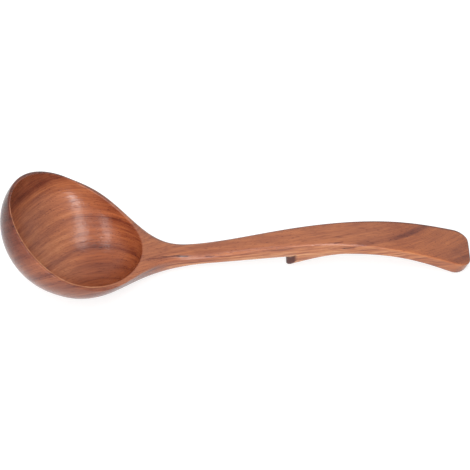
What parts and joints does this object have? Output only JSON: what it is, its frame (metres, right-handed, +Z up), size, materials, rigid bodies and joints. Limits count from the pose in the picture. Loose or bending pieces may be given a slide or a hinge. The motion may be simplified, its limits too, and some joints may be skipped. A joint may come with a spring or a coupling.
{
  "type": "wooden porridge ladle",
  "caption": "One-piece carved wooden porridge ladle with a round bowl, slim neck, bowed handle widening to its end, and a hook under the handle that catches a pot rim.",
  "frame": {"origin": "on the table, under the middle of the box of the ladle as it lies on its bowl and the end of its handle", "axes": "+X from the bowl along the handle to its end, +Y across the ladle, +Z up, away from the table"},
  "size_m": [0.3008, 0.09, 0.0686],
  "materials": {
    "wood": "smooth oiled reddish-brown hardwood with a satin sheen, end grain darker"
  },
  "bodies": {
    "root": {"ladle": "wood"}
  },
  "joints": []
}
